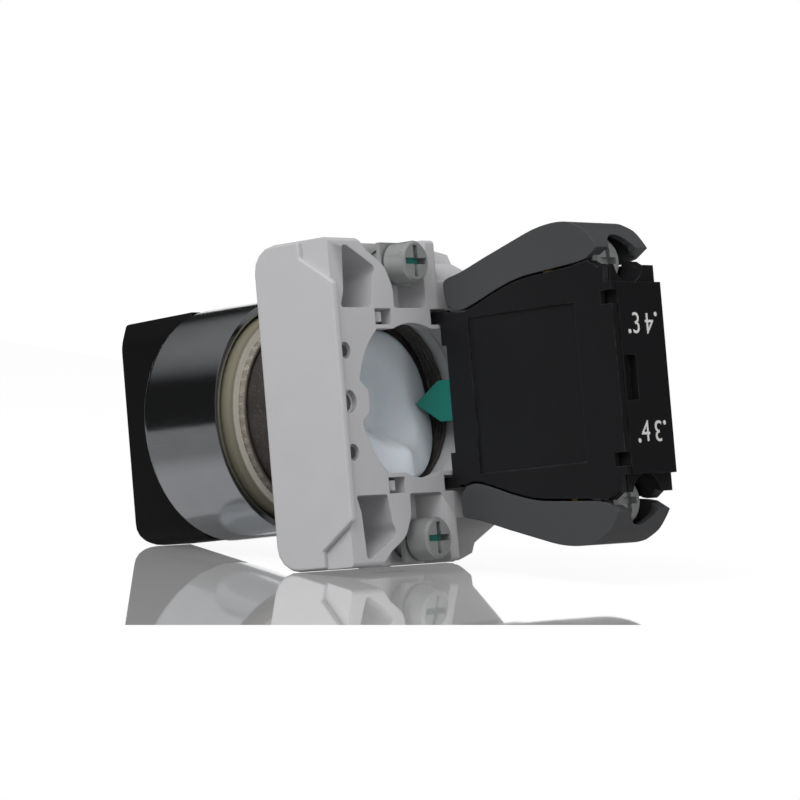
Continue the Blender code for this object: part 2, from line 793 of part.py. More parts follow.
def make_collar():
    """Light grey collar: bored for the head, with pockets, ribs, windows and screw towers."""
    half_width = COLLAR_WIDTH / 2 - PAD_THICK
    half_height = COLLAR_HEIGHT / 2
    pad_front = COLLAR_FRONT + PAD_INSET
    pad_half = half_height - PAD_INSET
    side_profile = filleted(
        [
            (COLLAR_FRONT, -half_height, COLLAR_NOSE_RADIUS),
            (COLLAR_REAR, -half_height, 0.5 * MM),
            (COLLAR_REAR, half_height, 0.5 * MM),
            (COLLAR_FRONT, half_height, COLLAR_NOSE_RADIUS),
        ]
    )
    collar = object_from("collar", prism("X", side_profile, -half_width, half_width), LIGHT_GREY)
    pad_profile = filleted(
        [
            (pad_front, -pad_half, COLLAR_NOSE_RADIUS),
            (PAD_SHOULDER_Y, -pad_half, 0),
            (PAD_SHOULDER_Y, -PAD_SHOULDER_Z, 0),
            (PAD_REAR, -PAD_CORNER_Z, 0.6 * MM),
            (PAD_REAR, PAD_CORNER_Z, 0.6 * MM),
            (PAD_SHOULDER_Y, PAD_SHOULDER_Z, 0),
            (PAD_SHOULDER_Y, pad_half, 0),
            (pad_front, pad_half, COLLAR_NOSE_RADIUS),
        ]
    )
    for side in (-1, 1):
        near, far = sorted((side * (half_width - PAD_ROOT), side * COLLAR_WIDTH / 2))
        pad = object_from(f"collar_pad_{side}", prism("X", pad_profile, near, far))
        soften(pad, PAD_EDGE)
        boolean(collar, pad, "UNION")
    cut(collar, *collar_bores())
    for side in (-1, 1):
        cut(collar, collar_far_step(side), *collar_pockets(side))
        cut(collar, *collar_screw_ways(side))
        for hand in (-1, 1):
            cut(collar, collar_window(side, hand))
        add(collar, window_tongue(side))
    for hand in (-1, 1):
        x = hand * THREAD_HOLE_PLACE
        cut(collar, rod((x, 0), THREAD_HOLE_RADIUS, 12.5 * MM, COLLAR_REAR + CUT_OVER))
        for side in (-1, 1):
            dimple = rod(
                (x, side * DIMPLE_PLACE),
                DIMPLE_RADIUS,
                COLLAR_REAR - DIMPLE_DEPTH,
                COLLAR_REAR + CUT_OVER,
                16,
            )
            cut(collar, dimple)
    smooth(collar)


def collar_bores():
    """Bore for the tube, groove and ways for its lugs, key slot and the rear opening."""
    bore = TUBE_RADIUS + RUN_GAP
    bore_end = TUBE_REAR + RUN_GAP
    lip_front = COLLAR_REAR - COLLAR_LIP_THICK
    groove = bore + LUG_HEIGHT
    groove_front = LUG_FRONT - RUN_GAP
    groove_rear = LUG_FRONT + LUG_LENGTH + RUN_GAP
    front = COLLAR_FRONT - CUT_OVER
    stepped = [
        (front, 0),
        (front, bore),
        (groove_front, bore),
        (groove_front, groove),
        (groove_rear, groove),
        (groove_rear, bore),
        (bore_end, bore),
        (bore_end, CHAMBER_RADIUS),
        (lip_front, CHAMBER_RADIUS),
        (lip_front, 0),
    ]
    way = LUG_WIDTH / 2 + RUN_GAP
    lug_way = block((-way, front, -groove), (way, groove_rear - 0.1 * MM, groove))
    opening = []
    corner = math.asin(OPENING_FLAT / OPENING_RADIUS)
    arch_end = math.asin(OPENING_FLAT / OPENING_ARCH)
    boss_edge = THREAD_HOLE_PLACE - THREAD_HOLE_RADIUS - BOSS_WALL
    for hand in (1, -1):
        sweep = []
        for step in range(17):
            turn = -corner + 2 * corner * step / 16
            x = OPENING_RADIUS * math.cos(turn)
            z = OPENING_RADIUS * math.sin(turn)
            if abs(z) < BOSS_HALF_HEIGHT:
                x = min(x, boss_edge)
            sweep.append((hand * x, hand * z))
        for step in range(9):
            turn = arch_end + (math.pi - 2 * arch_end) * step / 8
            x = OPENING_ARCH * math.cos(turn)
            z = OPENING_ARCH * math.sin(turn)
            sweep.append((hand * x, hand * z))
        opening += sweep
    return (
        turned(stepped, ROUND_FINE),
        lug_way,
        prism("Y", opening, lip_front - CUT_OVER, COLLAR_REAR + CUT_OVER),
    )


def collar_far_step(side):
    """Slope that takes down the collar's corner beside the contact block."""
    top = COLLAR_HEIGHT / 2
    outline = [
        (PAD_SHOULDER_Y - 4.2 * MM, top),
        (PAD_SHOULDER_Y - 1.7 * MM, top - 0.9 * MM),
        (PAD_SHOULDER_Y - 1.2 * MM, PAD_SHOULDER_Z),
        (PAD_REAR + CUT_OVER, PAD_CORNER_Z - 0.7 * MM),
        (PAD_REAR + CUT_OVER, top + CUT_OVER),
        (PAD_SHOULDER_Y - 4.2 * MM, top + CUT_OVER),
    ]
    corners = [(y, side * z) for y, z in outline]
    return prism("X", corners, -COLLAR_WIDTH / 2 - CUT_OVER, FAR_STEP_X)


def collar_pockets(side):
    """The curved pockets beside the screw, and the screw's own open pocket."""
    top = COLLAR_HEIGHT / 2
    inner = PITCH - POCKET_WIDTH / 2
    outer = PITCH + POCKET_WIDTH / 2
    rear = COLLAR_REAR + CUT_OVER
    floor = COLLAR_REAR - POCKET_DEPTH
    shapes = []
    near_outline = filleted(
        [
            (inner, POCKET_INNER, 0.4 * MM),
            (outer, POCKET_INNER, 0.3 * MM),
            (outer - 0.7 * MM, POCKET_INNER + 2.0 * MM, 2 * MM),
            (outer - 1.1 * MM, top - 0.9 * MM, 0.3 * MM),
            (outer - 1.9 * MM, top - 0.9 * MM, 0.3 * MM),
            (inner - 1.3 * MM, top - 3.5 * MM, 1.2 * MM),
            (inner - 0.5 * MM, top - 4.9 * MM, 2 * MM),
        ]
    )
    far_outline = filleted(
        [
            (-inner, POCKET_INNER, 0.4 * MM),
            (-outer, POCKET_INNER, 0.4 * MM),
            (-outer, PAD_CORNER_Z, 0.4 * MM),
            (-inner, PAD_CORNER_Z, 0.4 * MM),
        ]
    )
    for outline in (near_outline, far_outline):
        shapes.append(prism("Y", sided(outline, side), floor, rear))
    half = SCREW_POCKET_WIDTH / 2
    outline = filleted(
        [
            (-half, POCKET_INNER, 0.4 * MM),
            (half, POCKET_INNER, 0.4 * MM),
            (half, top - 5.8 * MM, 3 * MM),
            (half + 1.3 * MM, top - 3.2 * MM, 3 * MM),
            (half + 4.3 * MM, top - 1.5 * MM, 3 * MM),
            (half + 7.0 * MM, top + CUT_OVER, 0),
            (-half - 1.0 * MM, top + CUT_OVER, 0),
            (-half - 0.6 * MM, top - 2.2 * MM, 3 * MM),
            (-half, top - 4.6 * MM, 3 * MM),
        ]
    )
    shapes.append(prism("Y", sided(outline, side), COLLAR_REAR - SCREW_POCKET_DEPTH, rear))
    return shapes


def collar_screw_ways(side):
    """Clearance hole for a fixing screw, with a seat for its square nut."""
    z = side * SCREW_PLACE
    half = NUT_SIDE / 2 + SEAT_GAP / 2
    return (
        rod((0, z), SCREW_SHANK_RADIUS + RUN_GAP, COLLAR_FRONT - CUT_OVER, COLLAR_REAR),
        block(
            (-half, NUT_FRONT - SEAT_GAP, z - half),
            (half, NUT_FRONT + NUT_THICK + SEAT_GAP, z + half),
        ),
    )


def collar_window(side, hand):
    """Square latch window through the collar's lip."""
    middle = hand * WINDOW_PLACE
    half = WINDOW_WIDTH / 2
    low = OPENING_FLAT + WINDOW_WALL
    near, far = sorted((side * low, side * (low + WINDOW_HEIGHT)))
    return block(
        (middle - half, COLLAR_REAR - COLLAR_LIP_THICK - CUT_OVER, near),
        (middle + half, COLLAR_REAR + CUT_OVER, far),
    )


def window_tongue(side):
    """Small tongue that half fills the free position's window."""
    low = OPENING_FLAT + WINDOW_WALL + WINDOW_STEP
    high = low + WINDOW_HEIGHT - 2 * WINDOW_STEP
    near, far = sorted((side * low, side * high))
    outer = WINDOW_PLACE + WINDOW_WIDTH / 2
    return block(
        (WINDOW_PLACE, COLLAR_REAR - COLLAR_LIP_THICK, near),
        (outer + WINDOW_STEP, COLLAR_REAR - WINDOW_STEP, far),
    )


def make_fixing_screws():
    """Two screws that press on the panel, with their square washers and nuts."""
    for name, side in (("upper", 1), ("lower", -1)):
        centre = (0, side * SCREW_PLACE)
        head_rear = SCREW_HEAD_FRONT + SCREW_HEAD_LENGTH
        outline = [
            (SCREW_TIP, 0),
            (SCREW_TIP, SCREW_SHANK_RADIUS - 0.4 * MM),
            (SCREW_TIP + 0.5 * MM, SCREW_SHANK_RADIUS),
            (SCREW_HEAD_FRONT, SCREW_SHANK_RADIUS),
            (SCREW_HEAD_FRONT, SCREW_HEAD_RADIUS),
            (head_rear - SCREW_HEAD_EDGE, SCREW_HEAD_RADIUS),
            (head_rear, SCREW_HEAD_RADIUS - SCREW_HEAD_EDGE),
            (head_rear, 0),
        ]
        body = turned(outline, 24, centre)
        screw = object_from(f"{name}_fixing_screw", body, ZINC_STEEL)
        cut(screw, *cross_tools(centre, head_rear, CROSS_SPAN, CROSS_WIDTH, CROSS_DEPTH))
        smooth(screw)
        washer_front = SCREW_HEAD_FRONT - SEAT_GAP - WASHER_THICK
        square_ring(f"{name}_screw_washer", centre, WASHER_SIDE, washer_front, WASHER_THICK)
        square_ring(f"{name}_panel_nut", centre, NUT_SIDE, NUT_FRONT, NUT_THICK)


def square_ring(name, centre, side, front, thickness):
    """A square plate with a hole for the fixing screw."""
    x, z = centre
    half = side / 2
    plate = block((x - half, front, z - half), (x + half, front + thickness, z + half))
    made = object_from(name, plate, ZINC_STEEL)
    hole = SCREW_SHANK_RADIUS + RUN_GAP
    cut(made, rod(centre, hole, front - CUT_OVER, front + thickness + CUT_OVER))


def block_side(hand):
    """X of the block's side: the near side is the cover's, hand = 1."""
    return BLOCK_CENTRE + hand * BLOCK_WIDTH / 2


def housing_near():
    """X of the housing's open side, just behind the cover."""
    return block_side(1) - COVER_THICK - SEAT_GAP


def cavity_front():
    """Y where the block's cavity starts, behind the front wall."""
    return BLOCK_FRONT + 0.7 * MM + BLOCK_WALL


def curved(points, steps=3):
    """A smooth curve in metres through points given in millimetres (Catmull-Rom)."""
    knots = [Vector(point) * MM for point in points]
    knots = [2 * knots[0] - knots[1], *knots, 2 * knots[-1] - knots[-2]]
    curve = []
    for first, start, end, last in zip(knots, knots[1:], knots[2:], knots[3:]):
        for step in range(steps):
            t = step / steps
            curve.append(
                0.5
                * (
                    2 * start
                    + (end - first) * t
                    + (2 * first - 5 * start + 4 * end - last) * t**2
                    + (3 * start - first - 3 * end + last) * t**3
                )
            )
    curve.append(knots[-2])
    return [tuple(point) for point in curve]


def shroud_inner_edge():
    """The line where a shroud meets the block, front to rear, upper half."""
    return curved(SHROUD_INNER)


def block_outline():
    """Side outline of the black housing and its cover."""
    step = 6.5 * MM
    edge = [(y, z - SEAT_GAP, 0) for y, z in shroud_inner_edge()]
    upper = [
        (BLOCK_FRONT + 0.7 * MM, step, 0),
        (BLOCK_FRONT, step, 0),
        (BLOCK_FRONT, edge[0][1], 0.3 * MM),
        *edge,
        (BLOCK_NOTCH_Y, BLOCK_TAB_HEIGHT - 0.3 * MM, 0),
        (BLOCK_REAR - 0.9 * MM, BLOCK_TAB_HEIGHT, 0),
        (BLOCK_REAR - 0.9 * MM, BLOCK_HALF_HEIGHT, 0),
        (BLOCK_REAR, BLOCK_HALF_HEIGHT, 0),
    ]
    lower = [(y, -z, radius) for y, z, radius in reversed(upper)]
    return filleted(upper + lower)


def make_block_housing():
    """Black shell, open on its near side, with chambers for the contacts and terminals."""
    far = block_side(-1)
    near = housing_near()
    inside = far + BLOCK_WALL
    housing = object_from("block_housing", prism("X", block_outline(), far, near), BLACK_PLASTIC)
    open_side = near + CUT_OVER
    cut(
        housing,
        block(
            (inside, cavity_front(), -CAVITY_HALF_HEIGHT),
            (open_side, BLOCK_REAR - REAR_WALL, CAVITY_HALF_HEIGHT),
        ),
    )
    half_height = PLUNGER_HEIGHT / 2 + RUN_GAP
    tongue_far = near - PLUNGER_TONGUE - 2 * RUN_GAP
    cut(
        housing,
        block(
            (tongue_far, BLOCK_FRONT - CUT_OVER, -half_height),
            (open_side, cavity_front() + CUT_OVER, half_height),
        ),
    )
    strip_low, strip_high = strip_place()
    for side in (-1, 1):
        chamber_low, chamber_high = sorted((side * CHAMBER_INNER, side * 20 * MM))
        cut(
            housing,
            block(
                (inside, terminal_front() - TERMINAL_TRAVEL - SEAT_GAP, chamber_low),
                (open_side, SHROUD_END_Y - 0.8 * MM, chamber_high),
            ),
        )
        slot_low, slot_high = sorted(
            (side * (CAVITY_HALF_HEIGHT - CUT_OVER), side * (CHAMBER_INNER + CUT_OVER))
        )
        half_strip = STRIP_WIDTH / 2 + SEAT_GAP
        cut(
            housing,
            block(
                (BLOCK_CENTRE - half_strip, strip_low - SEAT_GAP, slot_low),
                (BLOCK_CENTRE + half_strip, strip_high + SEAT_GAP, slot_high),
            ),
        )
        access = (BLOCK_CENTRE, side * TERMINAL_PLACE)
        cut(
            housing,
            rod(access, TERMINAL_ACCESS_RADIUS, SHROUD_END_Y - 3 * MM, BLOCK_REAR + CUT_OVER),
        )
    relief = far + PAD_THICK + PAD_ROOT + SEAT_GAP
    cut(
        housing,
        block(
            (far - CUT_OVER, BLOCK_FRONT - CUT_OVER, -COLLAR_HEIGHT / 2),
            (relief, PAD_REAR + SEAT_GAP, COLLAR_HEIGHT / 2),
        ),
    )
    slot_half = 2.65 * MM
    cut(
        housing,
        block(
            (BLOCK_CENTRE + 1.2 * MM, BLOCK_REAR - 1.1 * MM, -slot_half),
            (near - 0.2 * MM, BLOCK_REAR + CUT_OVER, slot_half),
        ),
    )
    smooth(housing)


def latch_hook(side):
    """Hook on the cover's front edge that snaps into a window of the collar."""
    low = OPENING_FLAT + WINDOW_WALL + SEAT_GAP
    high = low + WINDOW_HEIGHT - 2 * SEAT_GAP
    near, far = sorted((side * low, side * high))
    return block(
        (block_side(1) - COVER_THICK, BLOCK_FRONT - HOOK_LENGTH, near),
        (block_side(1), BLOCK_FRONT + CUT_OVER, far),
    )


def make_block_cover():
    """Side plate of the block with a shallow bare panel and two latch notches."""
    near = block_side(1)
    plate = prism("X", block_outline(), near - COVER_THICK, near)
    cover = object_from("block_cover", plate, BLACK_PLASTIC)
    add(cover, latch_hook(1), latch_hook(-1))
    cut(
        cover,
        block(
            (near - LABEL_DEPTH, LABEL_FRONT, -LABEL_HALF_HEIGHT),
            (near + CUT_OVER, LABEL_REAR, LABEL_HALF_HEIGHT),
        ),
    )
    for side in (-1, 1):
        low, high = sorted((side * 8.7 * MM, side * 10.3 * MM))
        cut(
            cover,
            block(
                (near - COVER_THICK - CUT_OVER, BLOCK_REAR - 1.6 * MM, low),
                (near + CUT_OVER, BLOCK_REAR + CUT_OVER, high),
            ),
        )
    smooth(cover)


def shroud_outline(inset):
    """Side outline of the upper shroud, drawn in by a wall where inset is more than 0."""
    outer = curved([SHROUD_TIP, *reversed(SHROUD_OUTER), *SHROUD_NOSE, SHROUD_INNER[0]])[:-1]
    if inset == 0:
        return shroud_inner_edge() + outer
    inner = [(y, z - 3 * inset) for y, z in shroud_inner_edge()[2:]]
    drawn_in = []
    for before, here, after in zip(outer, outer[1:], outer[2:]):
        along = (Vector(after) - Vector(before)).normalized()
        drawn_in.append(tuple(Vector(here) + inset * Vector((along.y, -along.x)) * -1))
    return inner + drawn_in[1:-2]


def make_shroud(name, side):
    """Grey terminal shroud: a hollow wing, open to the block and at its rear end."""
    far, near = block_side(-1), block_side(1)
    shell = prism("X", sided(shroud_outline(0), side), far, near)
    shroud = object_from(name, shell, GREY_SHROUD)
    hollow = prism(
        "X",
        sided(shroud_outline(SHROUD_WALL), side),
        far + SHROUD_WALL,
        near - SHROUD_WALL,
    )
    cut(shroud, hollow)
    access = (BLOCK_CENTRE, side * TERMINAL_PLACE)
    cut(shroud, rod(access, TERMINAL_ACCESS_RADIUS, SHROUD_CREST_Y, BLOCK_REAR + CUT_OVER))
    smooth(shroud)


def bridge_place():
    """Y of the bridge's front and rear faces at rest."""
    rear = WINDOW_REAR - SEAT_GAP
    return rear - BRIDGE_THICK, rear


def bridge_tip_rear():
    """Rear face of the moving tips, which meets the fixed tips."""
    return bridge_place()[1] + SEAT_GAP + TIP_THICK


def fixed_tip_front():
    """Front face of the fixed tips, one contact travel behind the moving ones."""
    return bridge_tip_rear() + CONTACT_TRAVEL + CONTACT_SPARE


def strip_place():
    """Y of the fixed strip's front and rear faces."""
    front = fixed_tip_front() + TIP_THICK + SEAT_GAP
    return front, front + STRIP_THICK


def terminal_front():
    """Front end of the terminal screw's shank."""
    return strip_place()[0] - TERMINAL_BOSS_LENGTH - 1.2 * MM


def make_plunger(parent):
    """Green plunger: wedge tongue for the cam, stem with a window for the bridge."""
    half = PLUNGER_HEIGHT / 2
    near = housing_near() - RUN_GAP
    far = 2 * BLOCK_CENTRE - near
    stem_front = cavity_front() + RUN_GAP
    tongue = [
        (PLUNGER_TIP, 0),
        (PLUNGER_TIP + PLUNGER_WEDGE, half),
        (stem_front + CUT_OVER, half),
        (stem_front + CUT_OVER, -half),
        (PLUNGER_TIP + PLUNGER_WEDGE, -half),
    ]
    stem = block((far, stem_front, -half), (near, PLUNGER_REAR, half))
    plunger = object_from("plunger", stem, PLUNGER_GREEN, parent)
    add(plunger, prism("X", tongue, near - PLUNGER_TONGUE, near))
    window = max(BRIDGE_WIDTH / 2, CONTACT_COIL_RADIUS + CONTACT_WIRE_RADIUS) + RUN_GAP
    cut(
        plunger,
        block(
            (BLOCK_CENTRE - window, WINDOW_FRONT, -half - CUT_OVER),
            (BLOCK_CENTRE + window, WINDOW_REAR, half + CUT_OVER),
        ),
        rod(
            (BLOCK_CENTRE, 0),
            RETURN_COIL_RADIUS - RETURN_WIRE_RADIUS - 0.2 * MM,
            PLUNGER_REAR - 2.0 * MM,
            PLUNGER_REAR + CUT_OVER,
        ),
    )


def make_bridge(parent):
    """Brass bridge with a silver tip at each end."""
    front, rear = bridge_place()
    half_length = BRIDGE_LENGTH / 2
    outline = filleted(
        [
            (BLOCK_CENTRE - BRIDGE_WIDTH / 2, -half_length, 1.2 * MM),
            (BLOCK_CENTRE + BRIDGE_WIDTH / 2, -half_length, 1.2 * MM),
            (BLOCK_CENTRE + BRIDGE_WIDTH / 2, half_length, 1.2 * MM),
            (BLOCK_CENTRE - BRIDGE_WIDTH / 2, half_length, 1.2 * MM),
        ]
    )
    object_from("contact_bridge", prism("Y", outline, front, rear), BRASS, parent)
    for name, side in (("upper", 1), ("lower", -1)):
        centre = (BLOCK_CENTRE, side * TIP_PLACE)
        tip = rod(centre, TIP_RADIUS, rear + SEAT_GAP, bridge_tip_rear())
        smooth(object_from(f"{name}_moving_tip", tip, SILVER, parent))


def make_springs():
    """Contact spring in the plunger's window, and return spring behind the plunger."""
    centre = (BLOCK_CENTRE, 0)
    contact = coil(
        centre,
        CONTACT_COIL_RADIUS,
        CONTACT_WIRE_RADIUS,
        WINDOW_FRONT + SEAT_GAP,
        bridge_place()[0] - SEAT_GAP,
        CONTACT_TURNS,
    )
    smooth(object_from("contact_spring", contact, SPRING_STEEL), 60)
    back = coil(
        centre,
        RETURN_COIL_RADIUS,
        RETURN_WIRE_RADIUS,
        PLUNGER_REAR + SEAT_GAP,
        BLOCK_REAR - REAR_WALL - SEAT_GAP,
        RETURN_TURNS,
    )
    smooth(object_from("return_spring", back, SPRING_STEEL), 60)


def make_terminal(name, side, parent):
    """Fixed contact strip with its tip, and the terminal screw with its clamp."""
    front, rear = strip_place()
    centre = (BLOCK_CENTRE, side * TERMINAL_PLACE)
    half = STRIP_WIDTH / 2
    end_half = CLAMP_WIDTH / 2
    outline = [
        (BLOCK_CENTRE - half, STRIP_INNER),
        (BLOCK_CENTRE + half, STRIP_INNER),
        (BLOCK_CENTRE + half, CHAMBER_INNER + 0.8 * MM),
        (BLOCK_CENTRE + end_half, CHAMBER_INNER + 1.3 * MM),
        (BLOCK_CENTRE + end_half, STRIP_OUTER),
        (BLOCK_CENTRE - end_half, STRIP_OUTER),
        (BLOCK_CENTRE - end_half, CHAMBER_INNER + 1.3 * MM),
        (BLOCK_CENTRE - half, CHAMBER_INNER + 0.8 * MM),
    ]
    strip = object_from(
        f"{name}_fixed_contact",
        prism("Y", sided(outline, side), front, rear),
        BRASS,
    )
    boss_front = front - TERMINAL_BOSS_LENGTH
    add(strip, rod(centre, TERMINAL_BOSS_RADIUS, boss_front, front + STRIP_THICK / 2, 24))
    hole = TERMINAL_SHANK_RADIUS + RUN_GAP
    cut(strip, rod(centre, hole, boss_front - CUT_OVER, rear + CUT_OVER))
    tip_centre = (BLOCK_CENTRE, side * TIP_PLACE)
    tip = rod(tip_centre, TIP_RADIUS, fixed_tip_front(), fixed_tip_front() + TIP_THICK)
    smooth(object_from(f"{name}_fixed_tip", tip, SILVER))
    clamp_front = rear + TERMINAL_MOUTH
    clamp_rear = clamp_front + CLAMP_THICK
    x, z = centre
    clamp = object_from(
        f"{name}_wire_clamp",
        block(
            (x - CLAMP_WIDTH / 2, clamp_front, z - CLAMP_HEIGHT / 2),
            (x + CLAMP_WIDTH / 2, clamp_rear, z + CLAMP_HEIGHT / 2),
        ),
        ZINC_STEEL,
        parent,
    )
    cut(clamp, rod(centre, hole, clamp_front - CUT_OVER, clamp_rear + CUT_OVER))
    head_front = clamp_rear + SEAT_GAP
    head_rear = head_front + TERMINAL_HEAD_LENGTH
    profile = [
        (terminal_front(), 0),
        (terminal_front(), TERMINAL_SHANK_RADIUS - 0.4 * MM),
        (terminal_front() + 0.4 * MM, TERMINAL_SHANK_RADIUS),
        (head_front, TERMINAL_SHANK_RADIUS),
        (head_front, TERMINAL_HEAD_RADIUS),
        (head_rear - 0.4 * MM, TERMINAL_HEAD_RADIUS),
        (head_rear, TERMINAL_HEAD_RADIUS - 0.5 * MM),
        (head_rear, 0),
    ]
    screw = object_from(
        f"{name}_terminal_screw",
        turned(profile, ROUND_SMALL, centre),
        ZINC_STEEL,
        parent,
    )
    cut(screw, *cross_tools(centre, head_rear, 3.0 * MM, 0.8 * MM, 1.1 * MM))
    smooth(screw)


def main():
    """Build every piece of the switch."""
    clear_scene()
    selector = axis_empty("selector_axis", (0, 0, 0))
    plunger = axis_empty("plunger_axis", (BLOCK_CENTRE, 0, 0))
    bridge = axis_empty("bridge_axis", (BLOCK_CENTRE, 0, 0))
    make_bezel()
    make_head_body()
    make_gasket()
    make_handle(selector)
    make_seal(selector)
    make_clip(selector)
    make_cam(selector)
    make_detent_spring("upper_detent_spring", 1)
    make_detent_spring("lower_detent_spring", -1)
    make_collar()
    make_fixing_screws()
    make_block_housing()
    make_block_cover()
    make_plunger(plunger)
    make_bridge(bridge)
    make_springs()
    for name, side in (("upper", 1), ("lower", -1)):
        terminal = axis_empty(f"{name}_terminal_axis", (BLOCK_CENTRE, 0, side * TERMINAL_PLACE))
        make_shroud(f"{name}_shroud", side)
        make_terminal(name, side, terminal)


main()
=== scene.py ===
"""Looks of the panel selector switch: finishes, small detail pieces, light and camera."""

import json
import math
from typing import NamedTuple

import bmesh
import bpy
from mathutils import Matrix, Vector


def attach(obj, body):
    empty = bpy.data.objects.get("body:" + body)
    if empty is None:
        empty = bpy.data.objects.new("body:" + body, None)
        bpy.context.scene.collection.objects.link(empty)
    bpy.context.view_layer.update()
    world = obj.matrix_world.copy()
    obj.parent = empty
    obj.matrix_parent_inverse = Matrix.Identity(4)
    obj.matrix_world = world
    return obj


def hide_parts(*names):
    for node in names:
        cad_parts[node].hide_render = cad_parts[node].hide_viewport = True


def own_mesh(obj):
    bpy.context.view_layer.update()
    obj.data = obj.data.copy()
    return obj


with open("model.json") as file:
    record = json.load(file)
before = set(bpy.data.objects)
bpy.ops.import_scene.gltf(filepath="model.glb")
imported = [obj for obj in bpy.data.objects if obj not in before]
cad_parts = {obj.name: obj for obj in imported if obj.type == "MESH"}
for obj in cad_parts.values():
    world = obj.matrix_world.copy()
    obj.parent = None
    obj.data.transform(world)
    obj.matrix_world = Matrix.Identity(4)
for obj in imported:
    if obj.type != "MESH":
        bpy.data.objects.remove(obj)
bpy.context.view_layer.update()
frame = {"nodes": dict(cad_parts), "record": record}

MM = 0.001
WHITE = (1.0, 1.0, 1.0, 1.0)
BLACK = (0.0, 0.0, 0.0, 1.0)
SIDES = ((1, "upper"), (-1, "lower"))
HANDS = ((1, "near"), (-1, "far"))
BODY_OF = {
    node: body
    for body, nodes in frame["record"]["behaviour"]["bodies"].items()
    for node in nodes
}


class Signal:
    """A node's output socket that takes part in Python arithmetic."""

    def __init__(self, socket):
        self.socket = socket
        self.tree = socket.id_data

    @staticmethod
    def node(tree, kind, settings=None, inputs=None, output=0):
        """Add any node: its settings first, then the values or links of its sockets."""
        made = tree.nodes.new(kind)
        for name, value in (settings or {}).items():
            setattr(made, name, value)
        for name, value in (inputs or {}).items():
            if isinstance(value, Signal):
                tree.links.new(value.socket, made.inputs[name])
            else:
                made.inputs[name].default_value = value
        return Signal(made.outputs[output]) if made.outputs else made

    def math(self, operation, other):
        """This signal and another one, or a number, through a Math node."""
        settings = {"operation": operation}
        return Signal.node(self.tree, "ShaderNodeMath", settings, {0: self, 1: other})

    def __add__(self, other):
        return self.math("ADD", other)

    def __sub__(self, other):
        return self.math("SUBTRACT", other)

    def __mul__(self, other):
        return self.math("MULTIPLY", other)

    def __truediv__(self, other):
        return self.math("DIVIDE", other)

    def __pow__(self, other):
        return self.math("POWER", other)

    def __rsub__(self, other):
        return (self * -1.0) + other

    __radd__ = __add__
    __rmul__ = __mul__

    def over(self, low, high):
        """0 below low, 1 above high, and smooth between them."""
        inputs = {"Value": self, "From Min": low, "From Max": high}
        settings = {"interpolation_type": "SMOOTHSTEP"}
        return Signal.node(self.tree, "ShaderNodeMapRange", settings, inputs)

    def tint(self, low, high):
        """A colour that goes from low to high as the signal goes from 0 to 1."""
        inputs = {"Factor": self, 6: low, 7: high}
        settings = {"data_type": "RGBA", "clamp_factor": True}
        return Signal.node(self.tree, "ShaderNodeMix", settings, inputs, output=2)


def rgb(red, green, blue):
    """A linear colour from 0-255 screen values."""
    levels = [value / 255 for value in (red, green, blue)]
    return (*[v / 12.92 if v <= 0.04045 else ((v + 0.055) / 1.055) ** 2.4 for v in levels], 1.0)


def shade(colour, share):
    """The same colour, lighter or darker."""
    return (*[min(value * share, 1.0) for value in colour[:3]], 1.0)


def start_material(name):
    """An empty material, its tree and its Object coordinates."""
    made = bpy.data.materials.new(name)
    made.use_nodes = True
    made.node_tree.nodes.clear()
    place = Signal.node(made.node_tree, "ShaderNodeTexCoord", output="Object")
    return made, made.node_tree, place


def noise(tree, place, size, detail=3.0, rough=0.55):
    """Noise from 0 to 1 with features of about that size."""
    inputs = {"Vector": place, "Scale": 1.0 / size, "Detail": detail, "Roughness": rough}
    return Signal.node(tree, "ShaderNodeTexNoise", None, inputs)


def stretched(tree, place, factors):
    """The coordinates scaled along each axis, for streaks."""
    settings = {"operation": "MULTIPLY"}
    return Signal.node(tree, "ShaderNodeVectorMath", settings, {0: place, 1: factors})


def axis_of(tree, place, axis):
    """One coordinate, 0 to 2 for X to Z."""
    return Signal.node(tree, "ShaderNodeSeparateXYZ", None, {0: place}, output=axis)


def ring_radius(tree, place):
    """Distance from the switch's axis."""
    x, z = axis_of(tree, place, 0), axis_of(tree, place, 2)
    return (x * x + z * z) ** 0.5


def rounded_normal(tree, edge):
    """The normal as if edges were rounded to a radius."""
    return Signal.node(tree, "ShaderNodeBevel", {"samples": 4}, {"Radius": edge})


def relief(tree, height, depth, edge):
    """A bumped normal on edges rounded to a radius."""
    rounded = rounded_normal(tree, edge)
    inputs = {"Strength": 1.0, "Distance": depth, "Height": height, "Normal": rounded}
    return Signal.node(tree, "ShaderNodeBump", None, inputs)


def edge_wear(tree, edge):
    """1 along edges, 0 on flat faces."""
    flat = Signal.node(tree, "ShaderNodeNewGeometry", output="True Normal")
    settings = {"operation": "DOT_PRODUCT"}
    inputs = {0: rounded_normal(tree, edge), 1: flat}
    agreement = Signal.node(tree, "ShaderNodeVectorMath", settings, inputs, output="Value")
    return (1.0 - agreement).over(0.02, 0.25)


def close_material(made, tree, colour, roughness, normal, metallic=0.0, **constants):
    """Join the signals to one Principled shader."""
    inputs = {
        "Base Color": colour,
        "Roughness": roughness,
        "Metallic": metallic,
        "Normal": normal,
        **{name.replace("_", " "): value for name, value in constants.items()},
    }
    shader = Signal.node(tree, "ShaderNodeBsdfPrincipled", None, inputs)
    Signal.node(tree, "ShaderNodeOutputMaterial", None, {"Surface": shader})
    return made


